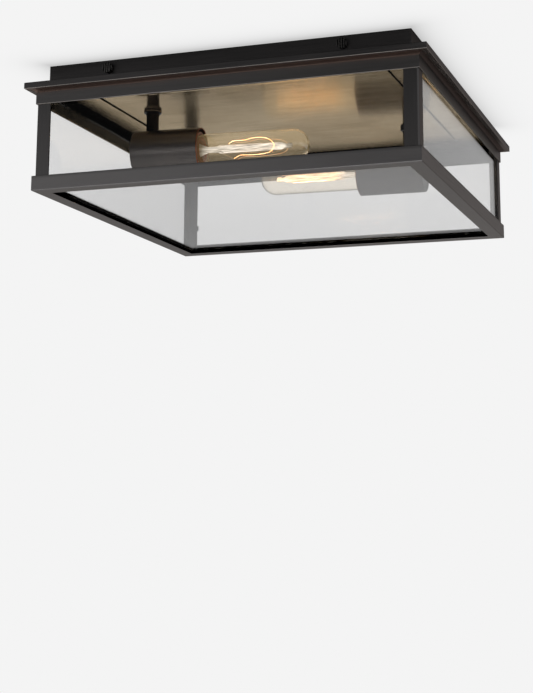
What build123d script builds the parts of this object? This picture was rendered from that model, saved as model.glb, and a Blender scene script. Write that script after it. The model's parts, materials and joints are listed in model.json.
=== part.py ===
from build123d import *
from math import sqrt
import os

# Square flush mount porch light: a glazed metal cage that hangs from a pan on the ceiling.
# Millimetres. The origin is the middle of the face that lies on the ceiling, +Z is up,
# the front is at -Y, and +X is to the right of someone who looks at the front.

# Cage plan: every frame is wrapped round the corner posts, so their outside width leads.
cage_width = 326.0
band_wall = 0.9
rail_wall = 2.0
cornice_overhang = 7.6
canopy_inset = 7.9
canopy_wall = 1.2

# Cage heights.
canopy_gap = 0.5
cornice_leg = 1.8
cornice_lap = 4.8
fascia_height = 5.4
cove_lip = 2.0
cove_drop = 1.7
cove_hollow = 0.6
roof_wall = 1.2
roof_step = 0.5
band_height = 15.7
lantern_height = 88.5
edge_round = 0.4

# Corner posts and the bottom rail, both of angle section.
post_leg = 12.2
post_wall = 1.5
post_bend = 1.6
rail_height = 12.7
flange_reach = 12.5
flange_wall = 1.5
rail_bend = 0.8

# Glazing.
glass_thickness = 3.0
glass_gap = 0.3
pane_top_gap = 4.5
bead_height = 1.5
bead_inset = 1.7
clip_leg = 10.4
clip_wall = 0.8
clip_height = 5.0
clip_drop = 59.5

# Ceiling pan, its riser and the socket plate that closes it from below.
pan_room = 1.8
pan_wall = 1.2
pan_lip = 3.3
wire_hole = 28.0
wire_gap = 13.5
plate_inset = 23.1
plate_wall = 0.8
plate_seam = 2.4
plate_fit = 0.2
riser_wall = 1.0

# Mounting strap for an outlet box, riveted inside the pan.
strap_width = 25.0
strap_wall = 2.0
box_screw_pitch = 88.9
strap_slot_length = 14.0
strap_slot_width = 5.0
rivet_gap = 12.55
rivet_edge = 11.0
rivet_diameter = 4.0
rivet_lip = 1.75
rivet_head_height = 1.4
ground_offset = 18.0
ground_shank = 3.6
ground_lip = 2.2
ground_head_height = 3.0

# Small screws. A hole is wider than its shank by the play all round.
hole_play = 0.1
plate_screw_drop = 10.0
plate_screw_shank = 3.4
plate_screw_end = 2.0
plate_screw_lip = 1.8
plate_screw_head_height = 2.2
thumb_inset = 55.0
thumb_drop = 8.0
thumb_shank = 4.0
thumb_tip_reach = 3.0
neck_step = 1.2
neck_height = 0.8
head_step = 1.2
head_height = 3.8
head_grooves = 20
head_groove = 0.8
clinch_wall = 2.0
clinch_height = 4.0
notch_room = 0.7

# Lamp arms: a threaded stem round its lead carries a cup, turned a little on the stem.
# Both stems stand a little to the left of the plate's middle.
lamp_drop = 38.7
left_turn = 5.0
right_turn = 2.0
right_bulb_roll = 78.0
stem_edge = 25.9
stem_pitch = 128.0
stem_shift = 1.5
lead_diameter = 4.5
lead_room = 1.5
stem_wall = 1.8
stem_thread_end = 1.4
nut_wall = 2.35
nut_height = 3.4
collar_rim = 2.25
collar_height = 2.6
collar_foot_rim = 1.35
collar_foot_height = 1.6
bracket_rim = 2.85
bracket_wall = 1.0
bracket_tongue = 8.0
bracket_room = 4.9
nut_room = 1.34

# Lampholder and cup, built out from the bulb's cap.
holder_base = 3.5
contact_diameter = 8.0
contact_height = 2.0
contact_room = 2.0
shell_play = 0.5
shell_wall = 0.7
shell_fit = 0.2
shell_setback = 0.3
holder_wall = 2.4
holder_rim_inset = 1.0
cup_room = 2.5
cup_wall = 1.0
cup_cover = 5.8

# The lead's run above the plate and its connector.
lead_bend = 5.5
lead_run = 62.0
connector_wall = 3.75
connector_tip = 8.0
connector_length = 20.0
connector_room = 1.7

# Tubular bulb: cap, envelope, mount and filament.
cap_play = 0.3
cap_tip_room = 1.5
cap_tip_height = 1.5
cap_cone_clear = 0.3
cap_cone_height = 2.5
cap_diameter = 25.4
cap_length = 19.5
cap_rings = 5
cap_ring_depth = 0.6
neck_inset = 0.1
bulb_length = 101.0
bulb_diameter = 28.6
bulb_shoulder = 14.0
bulb_wall = 0.8
bulb_tip_gap = 14.2
flare_room = 2.7
flare_length = 10.0
press_width = 11.0
press_depth = 5.0
press_length = 10.0
tube_diameter = 6.4
tube_gap = 18.0
rod_diameter = 1.6
button_diameter = 4.4
button_length = 4.0
filament_wire = 0.7
filament_height = 15.0
filament_inset = 1.9
filament_foot_inset = 0.9
filament_rise = 8.0
front_loop_gap = 12.0
back_loop_gap = 2.0
loop_flat = 0.3

# Worked out: round sizes of the lamp arm.
stem_bore = lead_diameter + 2 * lead_room
stem_diameter = stem_bore + 2 * stem_wall
stem_hole = stem_diameter + 2 * hole_play
stem_above_plate = nut_height + stem_thread_end
nut_across = stem_diameter + 2 * nut_wall
nut_corner = nut_across / sqrt(3)
bracket_half = stem_diameter / 2 + bracket_rim
shell_inner = cap_diameter / 2 + shell_play
shell_outer = shell_inner + shell_wall
holder_bore = shell_outer + shell_fit
holder_radius = holder_bore + holder_wall
cup_inner = holder_radius + cup_room
cup_radius = cup_inner + cup_wall
seat_bore = contact_diameter + 2 * contact_room
cap_tip = seat_bore - 2 * cap_tip_room
connector_mouth = lead_diameter + 2 * connector_wall
lead_depth = pan_wall + connector_room + connector_mouth / 2

# Worked out: distances along the lamp from the stem.
cup_back = bracket_half + bracket_room + cup_wall
holder_start = nut_corner + nut_room + bracket_wall
contact_start = holder_start + holder_base
cap_start = contact_start + contact_height + cap_play
shell_start = cap_start + cap_tip_height - cap_cone_clear
cap_ring_start = cap_start + cap_tip_height + cap_cone_height
cap_front = cap_ring_start + cap_length
shell_end = cap_front - shell_setback
cup_front = cap_front + cup_cover
holder_front = cup_front - holder_rim_inset
press_start = cap_front + flare_length
press_end = press_start + press_length
button_start = cap_front + bulb_length - bulb_wall - bulb_tip_gap - button_length

# Worked out: the bulb's inner parts.
bulb_neck = cap_diameter - 2 * cap_ring_depth - 2 * neck_inset
flare_diameter = bulb_neck - 2 * bulb_wall - 2 * flare_room
filament_offset = press_width / 2 - filament_inset
filament_foot = press_depth / 2 - filament_foot_inset
loop_corner = filament_height / 2 - loop_flat

# Worked out: levels above the ceiling face, so all are below zero. The wiring sets the canopy's height.
plate_top = -lead_depth - lead_bend - stem_above_plate
plate_bottom = plate_top - plate_wall
roof_bottom = plate_bottom - roof_step
leg_bottom = roof_bottom + roof_wall
cornice_top = leg_bottom + cornice_leg
canopy_height = -canopy_gap - cornice_top
fascia_bottom = cornice_top - fascia_height
cove_bottom = fascia_bottom - cove_drop
band_bottom = leg_bottom - band_height
rail_bottom = roof_bottom - lantern_height
rail_top = rail_bottom + rail_height
flange_top = rail_bottom + flange_wall
floor_glass_bottom = flange_top + bead_height
floor_glass_top = floor_glass_bottom + glass_thickness
pane_top = roof_bottom - pane_top_gap
strap_bottom = -pan_wall - strap_wall
notch_top = notch_room + thumb_shank / 2 - thumb_drop
pan_depth = thumb_drop + thumb_shank / 2 + notch_room + pan_lip

# Worked out: levels above the lamp's own axis.
lamp_level = plate_bottom - lamp_drop
plate_above_lamp = lamp_drop + plate_wall
lead_level = -lead_depth - lamp_level
stem_top = plate_above_lamp + stem_above_plate
bracket_top = sqrt(cup_inner ** 2 - bracket_half ** 2) - hole_play
cup_nut_top = bracket_top - bracket_wall
stem_bottom = cup_nut_top - nut_height - stem_thread_end

# Worked out: half widths of the square frames.
post_half = cage_width / 2
band_half = post_half + band_wall
rail_half = post_half + rail_wall
cornice_half = band_half + cornice_overhang
canopy_half = band_half - canopy_inset
canopy_inner = canopy_half - canopy_wall
cornice_inner = canopy_inner - cornice_lap
pan_half = canopy_inner - clinch_height - pan_room
plate_half = pan_half - plate_inset
roof_opening = plate_half + plate_seam
riser_half = plate_half - plate_wall - plate_fit
flange_inner = rail_half - flange_reach
pane_outer = post_half - post_wall - glass_gap
pane_inner = pane_outer - glass_thickness
bead_inner = flange_inner + bead_inset

# Worked out: places.
stem_x = plate_half - stem_edge
stem_y = stem_pitch / 2
slot_x = box_screw_pitch / 2
rivet_x = slot_x + strap_slot_length / 2 + rivet_gap
strap_half = rivet_x + rivet_edge
wire_y = strap_width / 2 + wire_gap + wire_hole / 2
thumb_x = canopy_half - thumb_inset
reach = 2 * cornice_half
side_turns = {"front": 0, "right": 90, "back": 180, "left": 270}
corner_turns = {"front_left": 0, "front_right": 90, "back_right": 180, "back_left": 270}
lamp_places = {
    "left": Pos(-stem_x - stem_shift, -stem_y, lamp_level) * Rot(Z=left_turn),
    "right": Pos(stem_x - stem_shift, stem_y, lamp_level) * Rot(Z=180 + right_turn),
}
bulb_rolls = {"left": 0, "right": right_bulb_roll}


def slab(low, high):
    """A box between two opposite corners."""
    size = [b - a for a, b in zip(low, high)]
    return Pos(*low) * Box(*size, align=(Align.MIN, Align.MIN, Align.MIN))


def bar_along_z(bottom, height, diameter):
    """A round bar standing on Z."""
    standing = (Align.CENTER, Align.CENTER, Align.MIN)
    return Pos(0, 0, bottom) * Cylinder(diameter / 2, height, align=standing)


def bar_along_x(start, length, diameter):
    """A round bar lying along X."""
    return Rot(Y=90) * bar_along_z(start, length, diameter)


def turned(points):
    """A solid turned about X from a closed outline of (along, radius) points."""
    return revolve(make_face(Polyline(*points, close=True)), Axis.X)


def hexagon_along_z(across, bottom, height):
    """A hexagon bar standing on Z."""
    return extrude(Pos(0, 0, bottom) * RegularPolygon(across / 2, 6, major_radius=False), amount=height)


def square_ring(outer_half, inner_half, bottom, height):
    """A flat square ring."""
    outer = Rectangle(2 * outer_half, 2 * outer_half)
    inner = Rectangle(2 * inner_half, 2 * inner_half)
    return extrude(Pos(0, 0, bottom) * (outer - inner), amount=height)


def softened(section, corner, radius):
    """The section with the corner nearest to the given point rounded."""
    nearest = section.vertices().sort_by_distance((*corner, 0))[0]
    return fillet(nearest, radius)


def mitred(section):
    """The front strip of a square frame, from a (-out, level) section, cut on the diagonals at both ends."""
    quarter = Polygon((0, 0), (-reach, -reach), (reach, -reach), align=None)
    wedge = extrude(Pos(0, 0, -reach) * quarter, amount=2 * reach)
    return extrude(Plane.YZ * section, amount=reach, both=True) & wedge


def swept(route, diameter):
    """A round wire along a route."""
    section = Plane(origin=route @ 0, z_dir=route % 0) * Circle(diameter / 2)
    return sweep(section, path=route)


def group(solids):
    """Separate solids that share one node."""
    return Compound(children=solids)


# The ceiling pan: folded steel sheet with slots for the box screws, a wire hole,
# and notches in its rim, open below, for the tips of the thumb screws.
def ceiling_pan():
    inner = pan_half - pan_wall
    pan = slab((-pan_half, -pan_half, -pan_depth), (pan_half, pan_half, 0))
    pan -= slab((-inner, -inner, -pan_depth), (inner, inner, -pan_wall))
    pan -= Pos(0, wire_y, 0) * bar_along_z(-pan_wall, pan_wall, wire_hole)
    pan -= strap_openings(-pan_wall, pan_wall)
    half = thumb_shank / 2 + notch_room
    for x in (-thumb_x, thumb_x):
        pan -= slab((x - half, -reach, -reach), (x + half, reach, notch_top))
    return pan


# The slots and rivet holes that the strap and the pan share.
def strap_openings(bottom, height):
    cuts = []
    for x in (-1, 1):
        slot = Pos(x * slot_x, 0, bottom) * SlotOverall(strap_slot_length, strap_slot_width)
        cuts.append(extrude(slot, amount=height))
        cuts.append(Pos(x * rivet_x, 0, 0) * bar_along_z(bottom, height, rivet_diameter + 2 * hole_play))
    return cuts


# The mounting strap: slotted steel bar under the pan's sheet, pulled up by the box screws.
def mounting_strap():
    half = strap_width / 2
    strap = slab((-strap_half, -half, strap_bottom), (strap_half, half, -pan_wall))
    strap -= strap_openings(strap_bottom, strap_wall)
    ground_hole = bar_along_z(strap_bottom, strap_wall, ground_shank + 2 * hole_play)
    return strap - Pos(ground_offset, 0, 0) * ground_hole


# Two rivets, flush with the pan on the ceiling side.
def strap_rivets():
    shank = bar_along_z(strap_bottom, -strap_bottom, rivet_diameter)
    head = bar_along_z(strap_bottom - rivet_head_height, rivet_head_height, rivet_diameter + 2 * rivet_lip)
    return group([Pos(x, 0, 0) * (shank + head) for x in (-rivet_x, rivet_x)])


# The hexagon-head earth screw in the strap.
def ground_screw():
    shank = bar_along_z(strap_bottom, strap_wall, ground_shank)
    across = ground_shank + 2 * ground_lip
    head = hexagon_along_z(across, strap_bottom - ground_head_height, ground_head_height)
    return Pos(ground_offset, 0, 0) * (shank + head)


# The riser: a square sheet collar welded under the pan, which the socket plate slips over.
def plate_riser():
    bottom = plate_top + plate_fit
    riser = square_ring(riser_half, riser_half - riser_wall, bottom, -pan_wall - bottom)
    return riser - plate_screw_holes()


def plate_screw_holes():
    across = Pos(0, 0, -plate_screw_drop) * bar_along_x(-reach, 2 * reach, plate_screw_shank + 2 * hole_play)
    return [across, Rot(Z=90) * across]


# Four screws, one in the middle of each side, through the plate's upstand into the riser.
def plate_screws():
    length = plate_wall + plate_fit + riser_wall + plate_screw_end
    shank = bar_along_x(plate_half - length, length, plate_screw_shank)
    head = bar_along_x(plate_half, plate_screw_head_height, plate_screw_shank + 2 * plate_screw_lip)
    screw = Pos(0, 0, -plate_screw_drop) * (shank + head)
    return group([Rot(Z=turn) * screw for turn in side_turns.values()])


# The socket plate: a brass tray, upstand upwards, that carries both lamp arms.
def socket_plate():
    inner = plate_half - plate_wall
    tray = slab((-plate_half, -plate_half, plate_bottom), (plate_half, plate_half, -pan_wall - plate_fit))
    tray -= slab((-inner, -inner, plate_top), (inner, inner, 0))
    tray -= plate_screw_holes()
    for place in lamp_places.values():
        tray -= place * bar_along_z(lamp_drop, plate_wall, stem_hole)
    return tray


# A lamp arm's stem: threaded pipe from the plate down into the cup.
def stem():
    height = stem_top - stem_bottom
    return bar_along_z(stem_bottom, height, stem_diameter) - bar_along_z(stem_bottom, height, stem_bore)


# The stepped collar that closes the plate's hole from below.
def stem_collar():
    height = collar_height + collar_foot_height
    collar = bar_along_z(lamp_drop - collar_height, collar_height, stem_diameter + 2 * collar_rim)
    collar += bar_along_z(lamp_drop - height, collar_foot_height, stem_diameter + 2 * collar_foot_rim)
    return collar - bar_along_z(lamp_drop - height, height, stem_hole)


# Two nuts on a stem: one above the plate, one under the bracket inside the cup.
def stem_nuts():
    bottoms = (plate_above_lamp, cup_nut_top - nut_height)
    return [
        hexagon_along_z(nut_across, bottom, nut_height) - bar_along_z(bottom, nut_height, stem_hole)
        for bottom in bottoms
    ]


# The spun cup, closed at the back and open towards the bulb.
def socket_cup():
    cup = turned([
        (-cup_back, 0),
        (-cup_back, cup_radius),
        (cup_front, cup_radius),
        (cup_front, cup_inner),
        (cup_wall - cup_back, cup_inner),
        (cup_wall - cup_back, 0),
    ])
    return cup - bar_along_z(0, 2 * cup_radius, stem_hole)


# The bent bracket that the cup's nut clamps; the lampholder is fixed to its tongue.
def holder_bracket():
    top = slab((-bracket_half, -bracket_half, cup_nut_top), (holder_start, bracket_half, bracket_top))
    tongue_back = holder_start - bracket_wall
    tongue = slab((tongue_back, -bracket_half, -bracket_tongue), (holder_start, bracket_half, bracket_top))
    bracket = top + tongue - bar_along_z(0, cup_radius, stem_hole)
    return bracket - bar_along_x(0, holder_start, lead_diameter + 2 * hole_play)


# The moulded lampholder: a thick base, a seat for the threaded shell and a plain bore.
def lampholder():
    return turned([
        (holder_start, 0),
        (holder_start, holder_radius),
        (holder_front, holder_radius),
        (holder_front, holder_bore),
        (shell_start, holder_bore),
        (shell_start, seat_bore / 2),
        (contact_start, seat_bore / 2),
        (contact_start, 0),
    ])


# The threaded shell that takes the bulb's cap.
def thread_shell():
    return turned([
        (shell_start, shell_inner),
        (shell_start, shell_outer),
        (shell_end, shell_outer),
        (shell_end, shell_inner),
    ])


# The centre contact on the lampholder's base.
def centre_contact():
    return bar_along_x(contact_start, contact_height, contact_diameter)


# The sheathed lead: out of the lampholder, up through the stem and along to its connector.
def socket_lead():
    corners = [(holder_start, 0, 0), (0, 0, 0), (0, 0, lead_level), (lead_run, 0, lead_level)]
    return swept(FilletPolyline(*corners, radius=lead_bend), lead_diameter)


# The twist-on connector at the lead's end.
def wire_connector():
    end = lead_run + connector_length
    cone = turned([(lead_run, 0), (lead_run, connector_mouth / 2), (end, connector_tip / 2), (end, 0)])
    return Pos(0, 0, lead_level) * cone


# The bulb's screw cap: a contact tip, a cone and rings for its thread.
def bulb_cap():
    crest = cap_diameter / 2
    root = crest - cap_ring_depth
    pitch = cap_length / (cap_rings + 1)
    points = [(cap_start, 0), (cap_start, cap_tip / 2), (cap_start + cap_tip_height, cap_tip / 2)]
    for ring in range(cap_rings):
        start = cap_ring_start + ring * pitch
        points += [(start, root), (start + pitch / 3, crest), (start + 2 * pitch / 3, crest)]
    points += [(cap_front - pitch, root), (cap_front, root), (cap_front, 0)]
    return turned(points)


# The glass envelope: a necked tube with a round end.
def bulb_glass():
    return bulb_form(0) - bulb_form(bulb_wall)


def bulb_form(shrink):
    neck = bulb_neck / 2 - shrink
    body = bulb_diameter / 2 - shrink
    middle = cap_front + bulb_shoulder / 2
    shoulder = cap_front + bulb_shoulder
    tip = cap_front + bulb_length - shrink
    swell = Bezier((cap_front, neck), (middle, neck), (middle, body), (shoulder, body))
    side = Line((shoulder, body), (tip - body, body))
    end = RadiusArc((tip - body, body), (tip, 0), body)
    back = Polyline((tip, 0), (cap_front, 0), (cap_front, neck))
    return revolve(make_face(swell + side + end + back), Axis.X)


# The glass mount inside the bulb: flare, flat press, tube, centre rod and its end button.
def bulb_mount():
    flare = turned([
        (cap_front, 0),
        (cap_front, flare_diameter / 2),
        (press_start, press_depth / 2),
        (press_start, 0),
    ])
    half_width = press_width / 2
    half_depth = press_depth / 2
    press = slab((press_start, -half_width, -half_depth), (press_end, half_width, half_depth))
    tube = bar_along_x(press_end, button_start - tube_gap - press_end, tube_diameter)
    rod = bar_along_x(press_end, button_start - press_end, rod_diameter)
    return flare + press + tube + rod + bar_along_x(button_start, button_length, button_diameter)


# The filament: two hairpins of wire out of the press, one each side of the tube.
def filament():
    return group([
        hairpin(-filament_offset, button_start - front_loop_gap),
        hairpin(filament_offset, button_start - back_loop_gap),
    ])


def hairpin(offset, end):
    high = filament_height / 2
    rise = press_end + filament_rise
    route = FilletPolyline(
        (press_end, offset, filament_foot),
        (rise, offset, high),
        (end, offset, high),
        (end, offset, -high),
        (rise, offset, -high),
        (press_end, offset, -filament_foot),
        radius=loop_corner,
    )
    return swept(route, filament_wire)


# The canopy skirt: a plain square box wall with a hole for each thumb screw.
def canopy_skirt():
    skirt = square_ring(canopy_half, canopy_inner, cornice_top, canopy_height)
    hole = Rot(Z=90) * bar_along_x(-reach, 2 * reach, thumb_shank + 2 * hole_play)
    for x in (-thumb_x, thumb_x):
        skirt -= Pos(x, 0, -thumb_drop) * hole
    return skirt


# The cornice: a flat leg under the skirt, an upright fascia and a shallow cove down to the band.
def cornice_strip():
    cove_start = (cove_lip - cornice_half, fascia_bottom)
    cove_end = (-band_half, cove_bottom)
    cove_middle = ((cove_start[0] + cove_end[0]) / 2, (fascia_bottom + cove_bottom) / 2 + cove_hollow)
    outline = Polyline(
        cove_end,
        (-band_half, leg_bottom),
        (-cornice_inner, leg_bottom),
        (-cornice_inner, cornice_top),
        (-cornice_half, cornice_top),
        (-cornice_half, fascia_bottom),
        cove_start,
    )
    section = make_face(outline + ThreePointArc(cove_start, cove_middle, cove_end))
    section = softened(section, (-cornice_half, fascia_bottom), edge_round)
    return mitred(softened(section, (-cornice_half, cornice_top), edge_round))


# The upper band, wrapped round the posts, that hides the glass's top edge.
def band_strip():
    section = make_face(Polyline(
        (-band_half, leg_bottom),
        (-post_half, leg_bottom),
        (-post_half, band_bottom),
        (-band_half, band_bottom),
        close=True,
    ))
    return mitred(softened(section, (-band_half, band_bottom), edge_round))


# The brass roof flange, soldered under the cornice; the socket plate lies in its opening, a little higher.
def roof_flange():
    return square_ring(post_half, roof_opening, roof_bottom, roof_wall)


# A corner post: equal angle from the bottom flange up to the roof.
def corner_post():
    near = -post_half
    far = near + post_leg
    inside = near + post_wall
    section = make_face(Polyline(
        (near, near),
        (far, near),
        (far, inside),
        (inside, inside),
        (inside, far),
        (near, far),
        close=True,
    ))
    section = softened(section, (near, near), post_bend)
    return extrude(Pos(0, 0, flange_top) * section, amount=roof_bottom - flange_top)


# A bottom rail: folded angle, upright outside, with a flange inwards that carries the glass.
def rail_strip():
    section = make_face(Polyline(
        (-flange_inner, rail_bottom),
        (-rail_half, rail_bottom),
        (-rail_half, rail_top),
        (-post_half, rail_top),
        (-post_half, flange_top),
        (-flange_inner, flange_top),
        close=True,
    ))
    section = softened(section, (-rail_half, rail_bottom), rail_bend)
    return mitred(softened(section, (-rail_half, rail_top), edge_round))


# A pane, as it stands at the front: those at the front and back run through,
# and those at the sides fit between them.
def pane(side):
    half = pane_outer if side in ("front", "back") else pane_inner - glass_gap
    return slab((-half, -pane_outer, floor_glass_top), (half, -pane_inner, pane_top))


# The floor glass and the clear bead that beds it on the flange.
def bottom_glass():
    return slab((-pane_outer, -pane_outer, floor_glass_bottom), (pane_outer, pane_outer, floor_glass_top))


def glass_bead():
    return square_ring(pane_outer, bead_inner, flange_top, bead_height)


# Two bent clips that keep the panes in opposite corners.
def pane_clips():
    low = roof_bottom - clip_drop - clip_height / 2
    high = low + clip_height
    along_front = slab((pane_inner - clip_leg, -pane_inner, low), (pane_inner, clip_wall - pane_inner, high))
    along_side = slab((pane_inner - clip_wall, -pane_inner, low), (pane_inner, clip_leg - pane_inner, high))
    clip = along_front + along_side
    return group([clip, Rot(Z=180) * clip])


# The thumb screw, pointing out along X: plain shank with its tip in the pan's notch, neck and grooved head.
def thumb_screw():
    tip = pan_half - thumb_tip_reach
    neck = thumb_shank + 2 * neck_step
    head = neck + 2 * head_step
    head_start = canopy_half + neck_height
    screw = bar_along_x(tip, canopy_half - tip, thumb_shank)
    screw += bar_along_x(canopy_half, neck_height, neck)
    screw += bar_along_x(head_start, head_height, head)
    groove = Pos(0, head / 2, 0) * bar_along_x(head_start, head_height, head_groove)
    return screw - [Rot(X=turn * 360 / head_grooves) * groove for turn in range(head_grooves)]


# The clinch nut behind the skirt that the thumb screw runs in.
def clinch_nut():
    start = canopy_inner - clinch_height
    nut = hexagon_along_z(thumb_shank + 2 * clinch_wall, start, clinch_height)
    return Rot(Y=90) * (nut - bar_along_z(start, clinch_height, thumb_shank + 2 * hole_play))


# What stays on the ceiling.
pieces = {
    "ceiling_pan": ceiling_pan(),
    "mounting_strap": mounting_strap(),
    "strap_rivets": strap_rivets(),
    "ground_screw": ground_screw(),
    "plate_riser": plate_riser(),
    "plate_screws": plate_screws(),
    "socket_plate": socket_plate(),
}

# Lamp arms and bulbs, left and right; their small pieces are in pairs.
for side, place in lamp_places.items():
    pieces["stem_" + side] = place * stem()
    pieces["socket_cup_" + side] = place * socket_cup()
    pieces["lampholder_" + side] = place * lampholder()
    pieces["thread_shell_" + side] = place * thread_shell()
    pieces["bulb_cap_" + side] = place * bulb_cap()
    pieces["bulb_glass_" + side] = place * bulb_glass()
    rolled = place * Rot(X=bulb_rolls[side])
    pieces["bulb_mount_" + side] = rolled * bulb_mount()
    pieces["filament_" + side] = rolled * filament()
arms = lamp_places.values()
pieces["stem_collars"] = group([place * stem_collar() for place in arms])
pieces["stem_nuts"] = group([place * nut for place in arms for nut in stem_nuts()])
pieces["holder_brackets"] = group([place * holder_bracket() for place in arms])
pieces["centre_contacts"] = group([place * centre_contact() for place in arms])
pieces["socket_leads"] = group([place * socket_lead() for place in arms])
pieces["wire_connectors"] = group([place * wire_connector() for place in arms])

# The cage.
pieces["canopy_skirt"] = canopy_skirt()
pieces["roof_flange"] = roof_flange()
for side, turn in side_turns.items():
    pieces["cornice_" + side] = Rot(Z=turn) * cornice_strip()
    pieces["band_" + side] = Rot(Z=turn) * band_strip()
    pieces["rail_" + side] = Rot(Z=turn) * rail_strip()
    pieces["pane_" + side] = Rot(Z=turn) * pane(side)
for corner, turn in corner_turns.items():
    pieces["post_" + corner] = Rot(Z=turn) * corner_post()
pieces["bottom_glass"] = bottom_glass()
pieces["glass_bead"] = glass_bead()
pieces["pane_clips"] = pane_clips()

# Thumb screws through the skirt's front and back, and their nuts.
thumb_places = {
    "front_left": Pos(-thumb_x, 0, -thumb_drop) * Rot(Z=-90),
    "front_right": Pos(thumb_x, 0, -thumb_drop) * Rot(Z=-90),
    "back_left": Pos(-thumb_x, 0, -thumb_drop) * Rot(Z=90),
    "back_right": Pos(thumb_x, 0, -thumb_drop) * Rot(Z=90),
}
for name, place in thumb_places.items():
    pieces["thumb_screw_" + name] = place * thumb_screw()
pieces["clinch_nuts"] = group([place * clinch_nut() for place in thumb_places.values()])

os.makedirs("parts", exist_ok=True)
for name, shape in pieces.items():
    export_step(shape, "parts/" + name + ".step")
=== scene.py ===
import bmesh
import bpy
import json
from math import cos, hypot, pi, radians, sin
from mathutils import Matrix, Vector


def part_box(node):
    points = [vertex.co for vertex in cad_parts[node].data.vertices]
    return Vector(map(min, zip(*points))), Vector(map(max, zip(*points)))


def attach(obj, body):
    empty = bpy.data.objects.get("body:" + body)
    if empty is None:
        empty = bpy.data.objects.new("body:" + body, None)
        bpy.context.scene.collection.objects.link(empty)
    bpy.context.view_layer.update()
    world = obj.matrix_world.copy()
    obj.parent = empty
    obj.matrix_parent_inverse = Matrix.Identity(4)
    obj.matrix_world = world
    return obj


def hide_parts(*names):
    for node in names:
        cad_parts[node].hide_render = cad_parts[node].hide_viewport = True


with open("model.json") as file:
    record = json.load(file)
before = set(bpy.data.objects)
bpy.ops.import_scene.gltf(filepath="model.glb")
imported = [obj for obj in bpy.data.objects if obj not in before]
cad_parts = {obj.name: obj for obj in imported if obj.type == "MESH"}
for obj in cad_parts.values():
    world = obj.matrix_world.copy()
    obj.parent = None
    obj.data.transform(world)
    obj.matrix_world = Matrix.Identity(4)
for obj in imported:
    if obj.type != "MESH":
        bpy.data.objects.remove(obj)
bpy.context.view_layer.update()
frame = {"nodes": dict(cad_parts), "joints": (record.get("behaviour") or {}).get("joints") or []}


# The ceiling pan with its strap, rivets, riser and small nuts: folded sheet steel and turned parts,
# zinc plated after forming. They sit above the brass and show only from above or with the cage down.
mm = 0.001


def linear(hex_colour):
    """An sRGB hex colour as linear RGBA."""
    channels = [int(hex_colour[place:place + 2], 16) / 255 for place in (1, 3, 5)]
    return [c / 12.92 if c <= 0.04045 else ((c + 0.055) / 1.055) ** 2.4 for c in channels] + [1.0]


def add(tree, kind, inputs=None, stops=(), **settings):
    """Adds a node with its settings, its colour stops, and a value or a link for each named input.
    A node given for an input stands for its first output."""
    made = tree.nodes.new(kind)
    for key, value in settings.items():
        setattr(made, key, value)
    for number, (position, hex_colour) in enumerate(stops):
        band = made.color_ramp.elements
        stop = band[number] if number < 2 else band.new(position)
        stop.position = position
        stop.color = linear(hex_colour)
    for key, value in (inputs or {}).items():
        if isinstance(value, bpy.types.Node):
            value = value.outputs[0]
        if isinstance(value, bpy.types.NodeSocket):
            tree.links.new(value, made.inputs[key])
        else:
            made.inputs[key].default_value = value
    return made


def new_finish(name, **values):
    """A new material: returns it, its tree, its shader, and the place on the piece in metres."""
    material = bpy.data.materials.new(name)
    material.use_nodes = True
    tree = material.node_tree
    shader = tree.nodes["Principled BSDF"]
    for key, value in values.items():
        shader.inputs[key.replace("_", " ")].default_value = value
    place = add(tree, "ShaderNodeTexCoord").outputs["Object"]
    return material, tree, shader, place


def feed(target, **sources):
    """Links each node's first output to the input of that name."""
    for key, source in sources.items():
        target.id_data.links.new(source.outputs[0], target.inputs[key.replace("_", " ")])


def dress(material, *names):
    """Gives CAD nodes their finish."""
    for name in names:
        for place in frame["nodes"][name].material_slots:
            place.material = material


# Zinc plating on steel sheet: pale bluish grey, slightly cloudy, with a fine grain from the sheet.
zinc, tree, shader, place = new_finish("zinc_plated_steel", Metallic=1.0)
clouds = add(tree, "ShaderNodeTexNoise", {"Vector": place, "Scale": 1 / (14 * mm), "Detail": 5.0})
colour = add(tree, "ShaderNodeValToRGB", {"Fac": clouds}, [(0.3, "#9fa3a8"), (0.7, "#c9ccd0")])
dulled = add(tree, "ShaderNodeMapRange", {"Value": clouds, "To Min": 0.28, "To Max": 0.5})
grain = add(tree, "ShaderNodeTexNoise", {"Vector": place, "Scale": 1 / (1.2 * mm), "Detail": 2.0})
bump = add(tree, "ShaderNodeBump", {"Height": grain, "Strength": 0.06, "Distance": 0.3 * mm})
feed(shader, Base_Color=colour, Roughness=dulled, Normal=bump)
dress(
    zinc, "ceiling_pan", "mounting_strap", "strap_rivets", "plate_riser", "plate_screws", "stem_nuts",
    "holder_brackets", "clinch_nuts",
)


# The earth screw: a hexagon screw of turned steel, threaded into the mounting strap.
# It is dyed green, so that the fitter finds it, and the dye is rubbed thin where a spanner gripped it.
green, tree, shader, place = new_finish("green_dyed_screw", Metallic=0.7, Roughness=0.38)
wear = add(tree, "ShaderNodeTexNoise", {"Vector": place, "Scale": 1 / (1.5 * mm), "Detail": 4.0})
colour = add(tree, "ShaderNodeValToRGB", {"Fac": wear}, [(0.35, "#14602f"), (0.7, "#3f9a5a")])
feed(shader, Base_Color=colour)
dress(green, "ground_screw")


# The socket plate and the roof flange round it: brass sheet, brushed along the front, then aged and
# lacquered satin. Together they are the ceiling of the lantern, with a dark seam between them.
brass, tree, shader, place = new_finish(
    "aged_satin_brass", Metallic=1.0, Specular_Tint=linear("#f4ece0"), Anisotropic=0.7)
smear = add(tree, "ShaderNodeCombineXYZ", {"Y": 1.0})
feed(shader, Tangent=smear)
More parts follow.
